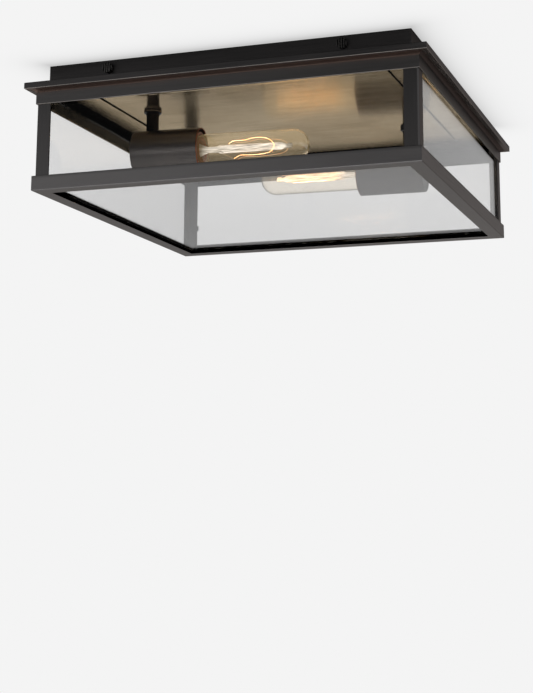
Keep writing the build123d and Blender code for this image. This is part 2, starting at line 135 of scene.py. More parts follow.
# Brush lines are about 0.2 mm apart on the real sheet; they are drawn at 1.1 mm so that they show.
brush_run = 70 * mm
brush_line = 1.1 * mm
lines = add(tree, "ShaderNodeVectorMath", {0: place, 1: (1 / brush_run, 1 / brush_line, 1 / brush_line)},
            operation="MULTIPLY")
brushing = add(tree, "ShaderNodeTexNoise", {"Vector": lines, "Scale": 1.0, "Detail": 3.0})
age = add(tree, "ShaderNodeTexNoise", {"Vector": place, "Scale": 1 / (90 * mm), "Detail": 3.0})
streak = add(tree, "ShaderNodeMath", {0: brushing, 1: age}, operation="ADD")
toned = add(tree, "ShaderNodeMapRange", {"Value": streak, "From Min": 0.7, "From Max": 1.3})
colour = add(tree, "ShaderNodeValToRGB", {"Fac": toned}, [(0.0, "#b5a07b"), (1.0, "#ead7b7")])
satin = add(tree, "ShaderNodeMapRange", {"Value": brushing, "To Min": 0.13, "To Max": 0.21})
# The roof flange is painted dark in a border along the walls, fading towards the middle: painted shade
# where the band and the panes close it in.
spread = add(tree, "ShaderNodeVectorMath", {0: place}, operation="ABSOLUTE")
apart = add(tree, "ShaderNodeSeparateXYZ", {"Vector": spread}).outputs
outmost = add(tree, "ShaderNodeMath", {0: apart["X"], 1: apart["Y"]}, operation="MAXIMUM")
pane_back = -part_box("pane_front")[1].y
dark_border_start = pane_back - 9 * mm
dark_border_full = pane_back - 7 * mm
painted_rim = add(tree, "ShaderNodeMapRange", {"Value": outmost, "From Min": dark_border_start, "From Max": dark_border_full})
mixed = add(tree, "ShaderNodeMixRGB", {"Fac": painted_rim, "Color1": colour, "Color2": linear("#050505")})
feed(shader, Base_Color=mixed, Roughness=satin)
dress(brass, "socket_plate", "roof_flange")


# The lamp arms: a threaded pipe stem, the stepped collar that closes the plate's hole, and a spun cup
# over the lampholder. All are dark bronze with a satin lacquer, bare and coppery at the cup's mouth.
lamps = {}
axes = {joint["name"]: Vector(joint["axis"]) for joint in frame["joints"]}
for hand in ("left", "right"):
    stem_low, stem_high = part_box("stem_" + hand)
    cup_low, cup_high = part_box("socket_cup_" + hand)
    axis = axes[f"bulb_{hand}_unscrew"]
    across = Vector((0, 0, 1)).cross(axis)
    lamp = Matrix((axis, across, (0, 0, 1))).transposed().to_4x4()
    lamp.translation = (stem_low + stem_high) / 2
    lamp.translation.z = (cup_low.z + cup_high.z) / 2
    lamps[hand] = lamp


def lamp_span(kind):
    """How far a left-hand CAD node lies along its lamp, and its largest radius, in millimetres."""
    back_to_lamp = lamps["left"].inverted()
    points = [back_to_lamp @ vertex.co / mm for vertex in frame["nodes"][kind + "_left"].data.vertices]
    along = [point.x for point in points]
    return min(along), max(along), max(hypot(point.y, point.z) for point in points)


def eased(corners, steps=5):
    """An outline of (along, radius) points from (along, radius, rounding) corners, closed."""
    outline = []
    for number, (along, radius, rounding) in enumerate(corners):
        here = Vector((along, radius))
        if not rounding:
            outline.append(here)
            continue
        before = Vector(corners[number - 1][:2]) - here
        after = Vector(corners[(number + 1) % len(corners)][:2]) - here
        start = here + before.normalized() * rounding
        end = here + after.normalized() * rounding
        for step in range(steps + 1):
            share = step / steps
            outline.append(start.lerp(here, share).lerp(here.lerp(end, share), share))
    return outline


def turned(name, outline, steps=96):
    """A mesh turned about X from a closed outline in millimetres, with its place along X as attribute."""
    form = bmesh.new()
    points = [form.verts.new((along, 0, radius)) for along, radius in outline]
    edges = [form.edges.new((points[number - 1], points[number])) for number in range(len(points))]
    bmesh.ops.spin(
        form, geom=points + edges, axis=(1, 0, 0), cent=(0, 0, 0),
        angle=2 * pi, steps=steps, use_merge=True,
    )
    bmesh.ops.remove_doubles(form, verts=form.verts, dist=0.001)
    bmesh.ops.dissolve_degenerate(form, edges=form.edges, dist=0.0005)
    bmesh.ops.recalc_face_normals(form, faces=form.faces)
    mesh = bpy.data.meshes.new(name)
    form.to_mesh(mesh)
    form.free()
    along = mesh.attributes.new("along", "FLOAT", "POINT")
    along.data.foreach_set("value", [vertex.co.x for vertex in mesh.vertices])
    mesh.shade_smooth()
    mesh.set_sharp_from_angle(angle=radians(40))
    return mesh


def settle(mesh, place, material, body, slot, *nodes):
    """Puts a mesh in millimetres at its place, as the piece that stands for CAD nodes."""
    mesh.transform(place @ Matrix.Scale(mm, 4))
    mesh.materials.append(material)
    piece = bpy.data.objects.new(mesh.name, mesh)
    bpy.context.scene.collection.objects.link(piece)
    if nodes:
        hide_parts(*nodes)
    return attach(piece, body)


# Spun and lacquered bronze: near black, satin, with faint rings from the spinning tool. The top is painted
# brown, a painted reflection of the brass ceiling above it.
# The real rings are 0.3 mm apart; they are drawn at 0.9 mm so that they show.
socket_bronze, tree, shader, place = new_finish("spun_dark_bronze", Metallic=1.0)
along = add(tree, "ShaderNodeAttribute", attribute_name="along").outputs["Fac"]
ring_line = 0.9
rings = add(tree, "ShaderNodeTexNoise", {"W": along, "Scale": 1 / ring_line, "Detail": 3.0},
            noise_dimensions="1D")
cloud = add(tree, "ShaderNodeTexNoise", {"Vector": place, "Scale": 1 / (25 * mm), "Detail": 4.0})
patina = add(tree, "ShaderNodeValToRGB", {"Fac": cloud}, [(0.3, "#625f5e"), (0.75, "#6c6764")])
cup_back, cup_front, cup_radius = lamp_span("socket_cup")
lamp_level = lamps["left"].translation.z
level = add(tree, "ShaderNodeSeparateXYZ", {"Vector": place}).outputs["Z"]
# The cup is painted brown towards its top: a painted reflection of the brass above.
reflection_start = lamp_level + 4 * mm
reflection_full = lamp_level + 18 * mm
upper = add(tree, "ShaderNodeMapRange", {"Value": level, "From Min": reflection_start, "From Max": reflection_full})
brass_reflected = add(tree, "ShaderNodeMixRGB", {"Fac": upper, "Color1": patina, "Color2": linear("#402d17")})
bare_lip = 0.6
bare = add(tree, "ShaderNodeMath", {0: along, 1: cup_front - bare_lip}, operation="GREATER_THAN")
colour = add(tree, "ShaderNodeMixRGB", {"Fac": bare, "Color1": brass_reflected, "Color2": linear("#8a5238")})
satin = add(tree, "ShaderNodeMapRange", {"Value": rings, "To Min": 0.3, "To Max": 0.38})
feed(shader, Base_Color=colour, Roughness=satin)

# Black lacquer on the stems and collars: near black and glossy, so that only their rims catch the light.
# A pale line is painted round each collar 1.5 mm under the plate: a painted highlight.
lacquer, tree, shader, place = new_finish("black_lacquered_pipe", Metallic=1.0)
wear = add(tree, "ShaderNodeTexNoise", {"Vector": place, "Scale": 1 / (6 * mm), "Detail": 4.0})
dark = add(tree, "ShaderNodeValToRGB", {"Fac": wear}, [(0.3, "#1a1716"), (0.75, "#2e2522")])
satin = add(tree, "ShaderNodeMapRange", {"Value": wear, "To Min": 0.1, "To Max": 0.2})
along = add(tree, "ShaderNodeAttribute", attribute_name="along").outputs["Fac"]
collar_low, collar_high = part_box("stem_collars")
plate_under = (collar_high.z - lamp_level) / mm
# A pale line painted round the collar: a painted highlight.
collar_highlight_level = plate_under - 1.5
collar_highlight_half = 0.3
painted_rim = add(tree, "ShaderNodeMath", {0: along, 1: collar_highlight_level, 2: collar_highlight_half}, operation="COMPARE")
colour = add(tree, "ShaderNodeMixRGB", {"Fac": painted_rim, "Color1": dark, "Color2": linear("#8c857f")})
feed(shader, Base_Color=colour, Roughness=satin)

cup_wall = 1.0
cup_inner = cup_radius - cup_wall
cup_floor = cup_back + cup_wall
cup_corners = [
    (cup_back, 0, 0), (cup_back, cup_radius, 1.6), (cup_front, cup_radius, 0.45),
    (cup_front, cup_inner, 0.35), (cup_floor, cup_inner, 1.0), (cup_floor, 0, 0),
]
stem_low, stem_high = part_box("stem_left")
stem_foot = (stem_low.z - lamp_level) / mm
stem_top = (stem_high.z - lamp_level) / mm
stem_radius = (stem_high.x - stem_low.x) / 2 / mm
stem_wall = 1.8
stem_bore = stem_radius - stem_wall
stem_corners = [
    (stem_top, stem_radius, 0.4), (stem_foot, stem_radius, 0.4),
    (stem_foot, stem_bore, 0), (stem_top, stem_bore, 0),
]
collar_height = 2.6
collar_play = 0.1
collar_foot = (collar_low.z - lamp_level) / mm
collar_step = plate_under - collar_height
collar_hole = stem_radius + collar_play
collar_radius = stem_radius + 2.25
sleeve_radius = stem_radius + 0.5
collar_corners = [
    (plate_under, collar_hole, 0), (plate_under, collar_radius, 0.2), (collar_step, collar_radius, 0.5),
    (collar_step, sleeve_radius, 0), (collar_foot, sleeve_radius, 0.2), (collar_foot, collar_hole, 0),
]
upright = Matrix.Rotation(-pi / 2, 4, "Y")
for hand, lamp in lamps.items():
    cup = turned("cup_" + hand, eased(cup_corners))
    settle(cup, lamp, socket_bronze, "base", "socket_bronze", "socket_cup_" + hand)
    pipe = turned("pipe_" + hand, eased(stem_corners), steps=48)
    settle(pipe, lamp @ upright, lacquer, "base", "socket_bronze", "stem_" + hand)
    collar = turned("collar_" + hand, eased(collar_corners), steps=64)
    settle(collar, lamp @ upright, lacquer, "base", "socket_bronze", "stem_collars")


# The lampholders: moulded phenolic in the red brown of old switchgear, glossy, with a thick front ring.
# Each sits in its cup on a small bracket, and its bore takes the threaded shell.
phenolic, tree, shader, place = new_finish("moulded_phenolic", IOR=1.6, Roughness=0.3)
flow = add(tree, "ShaderNodeTexNoise", {
    "Vector": place, "Scale": 1 / (6 * mm), "Detail": 5.0, "Distortion": 1.5,
})
colour = add(tree, "ShaderNodeValToRGB", {"Fac": flow}, [(0.3, "#4a170f"), (0.7, "#74301f")])
feed(shader, Base_Color=colour)
holder_back, holder_front, holder_radius = lamp_span("lampholder")
shell_back, _, shell_radius = lamp_span("thread_shell")
shell_play = 0.2
holder_bore = shell_radius + shell_play
holder_easing = 0.8
seat = 6.0
seat_floor = holder_back + 3.5
holder_corners = [
    (holder_back, 0, 0), (holder_back, holder_radius, holder_easing),
    (holder_front, holder_radius, holder_easing), (holder_front, holder_bore, holder_easing),
    (shell_back, holder_bore, 0), (shell_back, seat, 0), (seat_floor, seat, 0), (seat_floor, 0, 0),
]
for hand, lamp in lamps.items():
    holder = turned("holder_" + hand, eased(holder_corners))
    settle(holder, lamp, phenolic, "base", "black_phenolic", "lampholder_" + hand)


# The threaded shells, centre contacts and the bulbs' screw caps: thin brass, nickel plated and bright,
# rolled to the thread of a medium screw cap.
plated, tree, shader, place = new_finish("nickel_plated_brass", Metallic=1.0)
stain = add(tree, "ShaderNodeTexNoise", {"Vector": place, "Scale": 1 / (5 * mm), "Detail": 4.0})
colour = add(tree, "ShaderNodeValToRGB", {"Fac": stain}, [(0.3, "#b08d57"), (0.7, "#d9cdb4")])
dulled = add(tree, "ShaderNodeMapRange", {"Value": stain, "To Min": 0.15, "To Max": 0.35})
feed(shader, Base_Color=colour, Roughness=dulled)
dress(plated, "centre_contacts")
for hand in lamps:
    dress(plated, "thread_shell_" + hand, "bulb_cap_" + hand)


# The leads and their connectors above the plate: black sheathed wire that runs up through the stems, and
# orange moulded caps, twisted on where the leads meet the house's wires.
sheath, tree, shader, place = new_finish("black_wire_sheath", Roughness=0.5)
scuffs = add(tree, "ShaderNodeTexNoise", {"Vector": place, "Scale": 1 / (3 * mm), "Detail": 5.0})
colour = add(tree, "ShaderNodeValToRGB", {"Fac": scuffs}, [(0.35, "#141414"), (0.75, "#2c2b2a")])
feed(shader, Base_Color=colour)
dress(sheath, "socket_leads")
orange, tree, shader, place = new_finish("orange_connector_plastic", Roughness=0.42)
flow = add(tree, "ShaderNodeTexNoise", {"Vector": place, "Scale": 1 / (4 * mm), "Detail": 3.0})
colour = add(tree, "ShaderNodeValToRGB", {"Fac": flow}, [(0.3, "#c06a12"), (0.7, "#d98328")])
feed(shader, Base_Color=colour)
dress(orange, "wire_connectors")


# The bulbs: a necked tube of thin clear glass with an amber cast, blown and closed to a round end,
# and inside it a glass mount with a flat press, a rod, and an end button.
def let_lamps_through(tree, shader, tint):
    """Lets shadow and diffuse rays pass straight through a glass, as thin glass does."""
    rays = add(tree, "ShaderNodeLightPath").outputs
    passing = add(tree, "ShaderNodeMath", {0: rays["Is Shadow Ray"], 1: rays["Is Diffuse Ray"]},
                  operation="MAXIMUM")
    straight = add(tree, "ShaderNodeBsdfTransparent", {"Color": linear(tint)})
    mixed = add(tree, "ShaderNodeMixShader", {0: passing, 1: shader, 2: straight})
    feed(tree.nodes["Material Output"], Surface=mixed)


# Blown soda glass: clear face on, amber where it turns away, and with a faint glow painted into it as
# emission, for the filament's light within.
bulb_glass, tree, shader, place = new_finish(
    "amber_bulb_glass", Transmission_Weight=1.0, IOR=1.5, Roughness=0.0, Emission_Color=linear("#ffdf9f"),
    Emission_Strength=0.03)
edge = add(tree, "ShaderNodeLayerWeight", {"Blend": 0.35}).outputs["Facing"]
colour = add(tree, "ShaderNodeValToRGB", {"Fac": edge}, [(0.55, "#fffdf9"), (1.0, "#f2dcb4")])
feed(shader, Base_Color=colour)
let_lamps_through(tree, shader, "#fdf8ee")

cap_front, bulb_tip, bulb_body = lamp_span("bulb_glass")
bulb_neck = 12.0
bulb_wall = 0.8
shoulder_end = cap_front + 14.0


def bulb_outline(shrink, steps=24, fullness=2.5):
    """The bulb's section from neck to tip, pulled in by the glass's thickness."""
    outline = []
    for step in range(steps + 1):
        share = step / steps
        swell = 1 - (1 - share) ** fullness
        radius = bulb_neck + (bulb_body - bulb_neck) * swell - shrink
        outline.append((cap_front + (shoulder_end - cap_front) * share, radius))
    body = bulb_body - shrink
    for step in range(steps + 1):
        turn = pi / 2 * step / steps
        outline.append((bulb_tip - bulb_body + body * sin(turn), body * cos(turn)))
    return outline


press_start = cap_front + 10.0
press_end = cap_front + 20.0
button_end = lamp_span("bulb_mount")[1]
button_start = button_end - 4.0
tube_end = button_start - 5.0
mount_corners = [
    (cap_front, 0, 0), (cap_front, 8.3, 0.4), (cap_front + 6, 4.4, 1.5), (press_start + 1, 2.6, 0.5),
    (press_end - 1, 2.6, 1.0), (press_end + 2, 3.6, 0.8), (tube_end, 3.2, 1.5), (tube_end + 2, 1.7, 0.8),
    (button_start, 1.5, 0), (button_start, 2.2, 0.6), (button_end, 2.2, 0.9), (button_end, 0, 0),
]


# The mount's drawn glass: streaky and silvery, with a glow painted along its whole length as emission: a
# painted highlight that stands for the filament's light round it.
silver = "#fff6ea"
streak_width = 1.1 * mm
streak_length = 14.0
glow_start = cap_front + 5
glow_full = press_start + 2
fade_length = 3.0
warm_start = press_end - 2
warm_full = press_end + 8


def mount_glass(name, heat, hot_colour, lit_end):
    """Drawn glass with lengthways streaks and a painted glow from its flare outwards, warmer past the
    press.
    """
    material, tree, shader, place = new_finish(name, Transmission_Weight=0.35, IOR=1.5, Roughness=0.25)
    along = add(tree, "ShaderNodeAttribute", attribute_name="along").outputs["Fac"]
    across = add(tree, "ShaderNodeSeparateXYZ", {"Vector": place}).outputs["Z"]
    fine = add(tree, "ShaderNodeMath", {0: across, 1: 1 / streak_width}, operation="MULTIPLY")
    slow = add(tree, "ShaderNodeMath", {0: along, 1: 1 / streak_length}, operation="MULTIPLY")
    grain = add(tree, "ShaderNodeCombineXYZ", {"X": slow, "Z": fine})
    drawn = add(tree, "ShaderNodeTexNoise", {"Vector": grain, "Scale": 1.0, "Detail": 4.0})
    colour = add(tree, "ShaderNodeValToRGB", {"Fac": drawn}, [(0.35, "#8d8a86"), (0.65, "#ffffff")])
    glow = add(tree, "ShaderNodeMapRange", {
        "Value": drawn, "From Min": 0.35, "From Max": 0.65, "To Min": 0.15, "To Max": 0.62,
    })
    reached = add(tree, "ShaderNodeMapRange", {
        "Value": along, "From Min": glow_start, "From Max": glow_full,
    })
    fading = add(tree, "ShaderNodeMapRange", {
        "Value": along, "From Min": lit_end, "From Max": lit_end + fade_length,
        "To Min": 1.0, "To Max": 0.0,
    })
    ends = add(tree, "ShaderNodeMath", {0: reached, 1: fading}, operation="MULTIPLY")
    lit = add(tree, "ShaderNodeMath", {0: glow, 1: ends}, operation="MULTIPLY")
    warmed = add(tree, "ShaderNodeMapRange", {
        "Value": along, "From Min": warm_start, "From Max": warm_full,
    })
    tint = add(tree, "ShaderNodeMixRGB", {
        "Fac": warmed, "Color1": linear(silver), "Color2": linear(hot_colour),
    })
    more = add(tree, "ShaderNodeMath", {0: warmed, 1: heat, 2: 1.0}, operation="MULTIPLY_ADD")
    total = add(tree, "ShaderNodeMath", {0: lit, 1: more}, operation="MULTIPLY")
    feed(shader, Base_Color=colour, Emission_Color=tint, Emission_Strength=total)
    return material


mount_finish = {
    "left": mount_glass("drawn_mount_glass_left", 0.0, silver, tube_end + 2),
    "right": mount_glass("drawn_mount_glass_right", 1.7, "#ffd4a4", button_end - 1),
}

# Basing cement: baked phenolic and marble flour, dull brick red, that holds the neck in its cap.
cement, tree, shader, place = new_finish("red_basing_cement", Roughness=0.75)
crumbs = add(tree, "ShaderNodeTexNoise", {"Vector": place, "Scale": 1 / (2 * mm), "Detail": 5.0})
colour = add(tree, "ShaderNodeValToRGB", {"Fac": crumbs}, [(0.3, "#5c2015"), (0.7, "#8a3d2a")])
feed(shader, Base_Color=colour)
cement_corners = [
    (cap_front + 0.2, 9.2, 0), (cap_front + 0.2, 11.0, 0), (cap_front + 2, 11.4, 0),
    (cap_front + 6.5, 12.2, 1.0), (cap_front + 5.0, 9.0, 1.0),
]
for hand, lamp in lamps.items():
    envelope = turned("envelope_" + hand, bulb_outline(0) + bulb_outline(bulb_wall)[::-1], steps=128)
    settle(envelope, lamp, bulb_glass, "bulb_" + hand, "bulb_glass", "bulb_glass_" + hand)
    mount = turned("mount_" + hand, eased(mount_corners), steps=48)
    settle(mount, lamp, mount_finish[hand], "bulb_" + hand, "bulb_glass", "bulb_mount_" + hand)
    ring = turned("cement_" + hand, eased(cement_corners), steps=64)
    settle(ring, lamp, cement, "bulb_" + hand, "black_phenolic")


# The filaments: hairpins of carbonised thread, bent by hand out of the press, glowing orange white.
# The front one is hotter than the back one.
def glowing(name, strength):
    """Incandescent carbon, a little uneven along its length."""
    material, tree, shader, place = new_finish(name, Base_Color=linear("#3a2418"), Roughness=0.6)
    heat = add(tree, "ShaderNodeTexNoise", {"Vector": place, "Scale": 1 / (7 * mm), "Detail": 2.0})
    colour = add(tree, "ShaderNodeValToRGB", {"Fac": heat}, [(0.3, "#ffa25a"), (0.7, "#ffd5a6")])
    feed(shader, Emission_Color=colour)
    shader.inputs["Emission Strength"].default_value = strength
    return material


hot = glowing("hot_filament", 7.0)
warm = glowing("warm_filament", 1.2)


def wire_tree(name):
    """A tree that makes bent wire along a path: its inputs are the wire's sizes and its material."""
    tree = bpy.data.node_groups.new(name, "GeometryNodeTree")
    tree.interface.new_socket("Path", in_out="INPUT", socket_type="NodeSocketGeometry")
    sizes = {}
    kinds = {
        "Diameter": "NodeSocketFloat", "Unevenness": "NodeSocketFloat", "Bend length": "NodeSocketFloat",
        "Finish": "NodeSocketMaterial",
    }
    for label, kind in kinds.items():
        sizes[label] = tree.interface.new_socket(label, in_out="INPUT", socket_type=kind).identifier
    tree.interface.new_socket("Wire", in_out="OUTPUT", socket_type="NodeSocketGeometry")
    given = add(tree, "NodeGroupInput").outputs
    seed = 3.0
    per_metre = add(tree, "ShaderNodeMath", {0: 1.0, 1: given["Bend length"]}, operation="DIVIDE")
    wander = add(tree, "ShaderNodeTexNoise", {"Scale": per_metre, "W": seed, "Detail": 1.0},
                 noise_dimensions="4D")
    centred = add(tree, "ShaderNodeVectorMath", {0: wander.outputs["Color"], 1: (0.5, 0.5, 0.5)},
                  operation="SUBTRACT")
    offset = add(tree, "ShaderNodeVectorMath", {0: centred, "Scale": given["Unevenness"]},
                 operation="SCALE")
    bent = add(tree, "GeometryNodeSetPosition", {"Geometry": given["Path"], "Offset": offset})
    half = add(tree, "ShaderNodeMath", {0: given["Diameter"], 1: 2.0}, operation="DIVIDE")
    section = add(tree, "GeometryNodeCurvePrimitiveCircle", {"Resolution": 10, "Radius": half})
    tube = add(tree, "GeometryNodeCurveToMesh", {
        "Curve": bent, "Profile Curve": section, "Fill Caps": True,
    })
    smooth = add(tree, "GeometryNodeSetShadeSmooth", {0: tube})
    real = add(tree, "GeometryNodeRealizeInstances", {0: smooth})
    painted = add(tree, "GeometryNodeSetMaterial", {"Geometry": real, "Material": given["Finish"]})
    add(tree, "NodeGroupOutput", {"Wire": painted})
    return tree, sizes


def bent_wire(name, paths, place, tree, inputs, values):
    """Plain mesh of wires along smooth paths in millimetres, made by the wire tree."""
    curve = bpy.data.curves.new(name, "CURVE")
    curve.dimensions = "3D"
    for path in paths:
        spline = curve.splines.new("NURBS")
        spline.points.add(len(path) - 1)
        for point, spot in zip(spline.points, path):
            point.co = (*(place @ (Vector(spot) * mm)), 1)
        spline.order_u = 3
        spline.use_endpoint_u = True
        spline.resolution_u = 8
    holder = bpy.data.objects.new(name, curve)
    bpy.context.scene.collection.objects.link(holder)
    modifier = holder.modifiers.new("wire", "NODES")
    modifier.node_group = tree
    for label, value in values.items():
        modifier[inputs[label]] = value
    graph = bpy.context.evaluated_depsgraph_get()
    mesh = bpy.data.meshes.new_from_object(holder.evaluated_get(graph), depsgraph=graph)
    holder.modifiers.clear()
    bpy.data.objects.remove(holder)
    mesh.name = name
    piece = bpy.data.objects.new(name, mesh)
    bpy.context.scene.collection.objects.link(piece)
    return piece


def hairpin(depth, reach):
    """A hairpin's path: waved along the top, round its nose, and back along the bottom."""
    top = [(10.5, 3.4), (13.5, 6.3), (19.0, 6.0), (25.0, 6.1), (31.0, 7.6), (37.0, 8.0)]
    nose = [(44.0, 7.0), (49.0, 4.0), (51.5, 0.4), (48.5, -5.6)]
    bottom = [(41.0, -7.2), (31.0, -7.3), (22.0, -6.8), (19.0, -7.8), (15.5, -9.8)]
    path = top + [(along + reach, height) for along, height in nose] + bottom
    return [(press_end + along, depth, height) for along, height in path]


def legs(depth):
    """The bare wires from the press to the ends of a hairpin."""
    high = [(0.0, 0.5, 1.0), (3.0, 1.0, 2.6), (5.5, 1.0, 1.8), (8.0, 1.0, 3.2), (10.5, 1.0, 3.4)]
    low = [(0.0, 0.5, -1.0), (4.0, 1.0, -3.4), (9.5, 1.0, -6.4), (13.0, 1.0, -9.0), (15.5, 1.0, -9.8)]
    wires = []
    for path in (high, low):
        wires.append([(press_end + along, depth * share, height) for along, share, height in path])
    return wires


wire, wire_inputs = wire_tree("bent_wire")
filament_depth = 3.6
bulb_rolls = {"left": 0.0, "right": 78.0}
for hand, lamp in lamps.items():
    rolled = lamp @ Matrix.Rotation(radians(bulb_rolls[hand]), 4, "X")
    bulb = "bulb_" + hand
    strands = {
        "front_thread_": ([hairpin(-filament_depth, 0.0)], hot, 0.28, 0.8, 6.0, "filament_wire"),
        "back_thread_": ([hairpin(filament_depth, 11.0)], warm, 0.26, 0.8, 6.0, "filament_wire"),
        "legs_": (legs(-filament_depth) + legs(filament_depth), plated, 0.35, 0.6, 3.0, "plated_brass"),
    }
    for kind, (paths, finish, diameter, unevenness, bend, slot) in strands.items():
        strand = bent_wire(kind + hand, paths, rolled, wire, wire_inputs, {
            "Diameter": diameter * mm, "Unevenness": unevenness * mm, "Bend length": bend * mm,
            "Finish": finish,
        })
        if slot == "filament_wire":
            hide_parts("filament_" + hand)
        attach(strand, bulb)


# The cage's metal: canopy skirt, cornice, band, posts and rails of steel strip, mitred and soldered, in an
# oil rubbed bronze: a thin near-black coat, brushed along each strip and rubbed back to red brown about the
# cornice's cove.
cove_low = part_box("cornice_front")[0].z
roof_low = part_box("roof_flange")[0].z
rail_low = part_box("rail_front")[0].z
band_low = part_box("band_front")[0].z
rubbing_start = cove_low - 7 * mm
rubbing_full = cove_low + 0.7 * mm
cove_middle = cove_low + 0.8 * mm
cove_half = 0.95 * mm
fascia_start = cove_low + 1.6 * mm
fascia_full = cove_low + 2.2 * mm
# Two pale lines are painted along the band's bottom edge and the fascia's bottom edge: painted highlights.
edge_highlight_levels = (band_low + 0.2 * mm, cove_low + 2.0 * mm)
edge_highlight_half = 0.35 * mm
rail_top = rail_low + 13 * mm
rail_full = rail_low + 10 * mm
flange_skin = rail_low + 0.2 * mm
roof_top = roof_low + 1.1 * mm


def rubbed_bronze(name, stretch, inside, cove_colour):
    """The bronze coat, brushed along the longest of the three stretches in millimetres. Below the roof,
    what lies nearer to the middle than the inside line stays dull black. The rail's underside is painted
    pale, a painted reflection of the bright floor; the band, the rail's foot and two edge lines are
    painted lighter as painted light and painted highlights."""
    material, tree, shader, place = new_finish(name, Metallic=1.0)
    scale = tuple(1 / (size * mm) for size in stretch)
    lines = add(tree, "ShaderNodeVectorMath", {0: place, 1: scale}, operation="MULTIPLY")
    brushing = add(tree, "ShaderNodeTexNoise", {"Vector": lines, "Scale": 1.0, "Detail": 4.0})
    clouds = add(tree, "ShaderNodeTexNoise", {"Vector": place, "Scale": 1 / (60 * mm), "Detail": 4.0})
    level = add(tree, "ShaderNodeSeparateXYZ", {"Vector": place}).outputs["Z"]
    rubbed = add(tree, "ShaderNodeMapRange", {
        "Value": level, "From Min": rubbing_start, "From Max": rubbing_full, "To Max": 0.4,
    })
    above = add(tree, "ShaderNodeMapRange", {
        "Value": level, "From Min": fascia_start, "From Max": fascia_full, "To Min": 1.0, "To Max": 0.35,
    })
    cove = add(tree, "ShaderNodeMath", {0: rubbed, 1: above}, operation="MULTIPLY")
    patchy = add(tree, "ShaderNodeMath", {0: cove, 1: clouds}, operation="MULTIPLY")
    streaked = add(tree, "ShaderNodeMath", {0: brushing, 1: 0.28, 2: patchy}, operation="MULTIPLY_ADD")
    colour = add(tree, "ShaderNodeValToRGB", {"Fac": streaked},
                 [(0.05, "#434242"), (0.25, "#4a4848"), (0.6, "#5a4a43")])
    # The cove is painted the colour given for it: the finish's red brown, made lighter on the front and
    # back strips as painted light.
    hollow = add(tree, "ShaderNodeMath", {0: level, 1: cove_middle, 2: cove_half}, operation="COMPARE")
    faced = add(tree, "ShaderNodeMixRGB", {
        "Fac": hollow, "Color1": colour, "Color2": linear(cove_colour),
    })
    # The band is painted lighter than the other strips: painted light.
    band_middle = (band_low + cove_low) / 2
    band_half = (cove_low - band_low) / 2
    banded = add(tree, "ShaderNodeMath", {0: level, 1: band_middle, 2: band_half}, operation="COMPARE")
    band_lightened = add(tree, "ShaderNodeMixRGB", {
        "Fac": banded, "Color1": faced, "Color2": linear("#252423"),
    }, blend_type="ADD")
    # The rail is painted lighter towards its foot: painted light.
    low = add(tree, "ShaderNodeMapRange", {
        "Value": level, "From Min": rail_top, "From Max": rail_full, "To Max": 0.75,
    })
    rail_lightened = add(tree, "ShaderNodeMixRGB", {"Fac": low, "Color1": band_lightened, "Color2": linear("#646262")})
    # Painted highlights: the pale lines along the two edges, patchy with the clouds.
    edges = []
    for edge in edge_highlight_levels:
        edges.append(add(tree, "ShaderNodeMath", {0: level, 1: edge, 2: edge_highlight_half}, operation="COMPARE"))
    edge_highlight = add(tree, "ShaderNodeMath", {0: edges[0], 1: edges[1]}, operation="MAXIMUM")
    bright = add(tree, "ShaderNodeMath", {0: edge_highlight, 1: clouds}, operation="MULTIPLY")
    edged = add(tree, "ShaderNodeMixRGB", {"Fac": bright, "Color1": rail_lightened, "Color2": linear("#85807c")})
    # The rail's underside is painted pale: a painted reflection of the bright floor below.
    under = add(tree, "ShaderNodeMath", {0: level, 1: flange_skin}, operation="LESS_THAN")
    toned = add(tree, "ShaderNodeMixRGB", {"Fac": under, "Color1": edged, "Color2": linear("#8c8a89")})
    spread = add(tree, "ShaderNodeVectorMath", {0: place}, operation="ABSOLUTE")
    apart = add(tree, "ShaderNodeSeparateXYZ", {"Vector": spread}).outputs
    outmost = add(tree, "ShaderNodeMath", {0: apart["X"], 1: apart["Y"]}, operation="MAXIMUM")
    outer = add(tree, "ShaderNodeMath", {0: outmost, 1: inside * mm}, operation="GREATER_THAN")
    roof = add(tree, "ShaderNodeMath", {0: level, 1: roof_top}, operation="GREATER_THAN")
    shown = add(tree, "ShaderNodeMath", {0: outer, 1: roof}, operation="MAXIMUM")
    coated = add(tree, "ShaderNodeMath", {0: shown, 1: under}, operation="MAXIMUM")
    base = add(tree, "ShaderNodeMixRGB", {"Fac": coated, "Color1": linear("#020202"), "Color2": toned})
    sheen = add(tree, "ShaderNodeMixRGB", {
        "Fac": coated, "Color1": linear("#161616"), "Color2": linear("#b0acaa"),
    })
    satin = add(tree, "ShaderNodeMapRange", {"Value": brushing, "To Min": 0.26, "To Max": 0.44})
    dulled = add(tree, "ShaderNodeMapRange", {"Value": coated, "To Min": 0.6, "To Max": satin})
    feed(shader, Base_Color=base, Specular_Tint=sheen, Roughness=dulled)
    return material


# The real brush lines are about 0.2 mm apart; they are drawn at 1 mm so that they show.
line = 1.0
run = 45.0
strip_gap = 1.85
strip_back = -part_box("pane_front")[0].y / mm + strip_gap
# The front and back strips get a lighter cove than the sides and posts: painted light on the red brown.
along_front = rubbed_bronze("oil_rubbed_bronze_front", (run, line, line), strip_back, "#7a6860")
along_side = rubbed_bronze("oil_rubbed_bronze_side", (line, run, line), strip_back, "#4c4543")
along_post = rubbed_bronze("oil_rubbed_bronze_post", (line, line, run), 0.0, "#4c4543")
for strip in ("cornice", "band", "rail"):
    dress(along_front, strip + "_front", strip + "_back")
    dress(along_side, strip + "_left", strip + "_right")
dress(along_front, "canopy_skirt")
dress(along_post, "post_front_left", "post_front_right", "post_back_right", "post_back_left")


